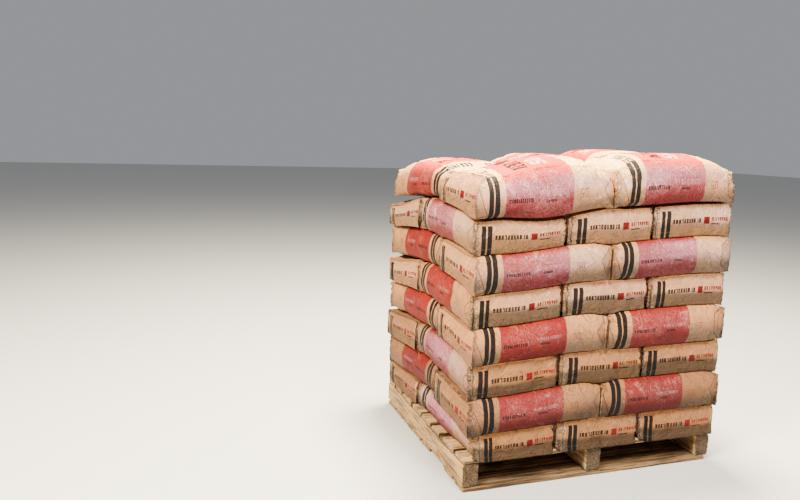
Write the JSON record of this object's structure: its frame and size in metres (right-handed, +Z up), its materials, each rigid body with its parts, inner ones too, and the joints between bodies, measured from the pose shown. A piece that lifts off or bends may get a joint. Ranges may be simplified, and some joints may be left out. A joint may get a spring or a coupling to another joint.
{
  "type": "pallet of sacks",
  "caption": "Wooden stringer pallet carrying a block of filled paper sacks, stacked crosswise in layers, with pockets for a forklift under the load.",
  "frame": {"origin": "centre of the pallet's underside, on the floor", "axes": "+Z up, +X along the face that the forks enter, to the right seen from the front, +Y from the front to the back along the stringers"},
  "size_m": [1.228, 1.033, 1.359],
  "materials": {
    "sack_paper": "printed kraft paper, creased and dusty",
    "stringer_wood": "rough sawn softwood, weathered",
    "board_wood": "rough sawn softwood, weathered"
  },
  "bodies": {
    "root": {"stringer_left": "stringer_wood", "stringer_middle": "stringer_wood", "stringer_right": "stringer_wood", "bottom_board_1": "board_wood", "bottom_board_2": "board_wood", "bottom_board_3": "board_wood", "bottom_board_4": "board_wood", "bottom_board_5": "board_wood", "bottom_board_6": "board_wood", "bottom_board_7": "board_wood", "deck_board_1": "board_wood", "deck_board_2": "board_wood", "deck_board_3": "board_wood", "deck_board_4": "board_wood", "deck_board_5": "board_wood", "deck_board_6": "board_wood", "deck_board_7": "board_wood", "deck_board_8": "board_wood", "sack_layer1_front_left": "sack_paper", "sack_layer1_front_middle": "sack_paper", "sack_layer1_front_right": "sack_paper", "sack_layer1_back_left": "sack_paper", "sack_layer1_back_right": "sack_paper", "sack_layer2_front_left": "sack_paper", "sack_layer2_front_right": "sack_paper", "sack_layer2_back_left": "sack_paper", "sack_layer2_back_middle": "sack_paper", "sack_layer2_back_right": "sack_paper", "sack_layer3_front_left": "sack_paper", "sack_layer3_front_middle": "sack_paper", "sack_layer3_front_right": "sack_paper", "sack_layer3_back_left": "sack_paper", "sack_layer3_back_right": "sack_paper", "sack_layer4_front_left": "sack_paper", "sack_layer4_front_right": "sack_paper", "sack_layer4_back_left": "sack_paper", "sack_layer4_back_middle": "sack_paper", "sack_layer4_back_right": "sack_paper", "sack_layer5_front_left": "sack_paper", "sack_layer5_front_middle": "sack_paper", "sack_layer5_front_right": "sack_paper", "sack_layer5_back_left": "sack_paper", "sack_layer5_back_right": "sack_paper", "sack_layer6_front_left": "sack_paper", "sack_layer6_front_right": "sack_paper", "sack_layer6_back_left": "sack_paper", "sack_layer6_back_middle": "sack_paper", "sack_layer6_back_right": "sack_paper", "sack_layer7_front_left": "sack_paper", "sack_layer7_front_middle": "sack_paper", "sack_layer7_front_right": "sack_paper", "sack_layer7_back_left": "sack_paper", "sack_layer7_back_right": "sack_paper", "sack_layer8_front_left": "sack_paper", "sack_layer8_front_right": "sack_paper", "sack_layer8_back_left": "sack_paper", "sack_layer8_back_middle": "sack_paper", "sack_layer8_back_right": "sack_paper"}
  },
  "joints": []
}
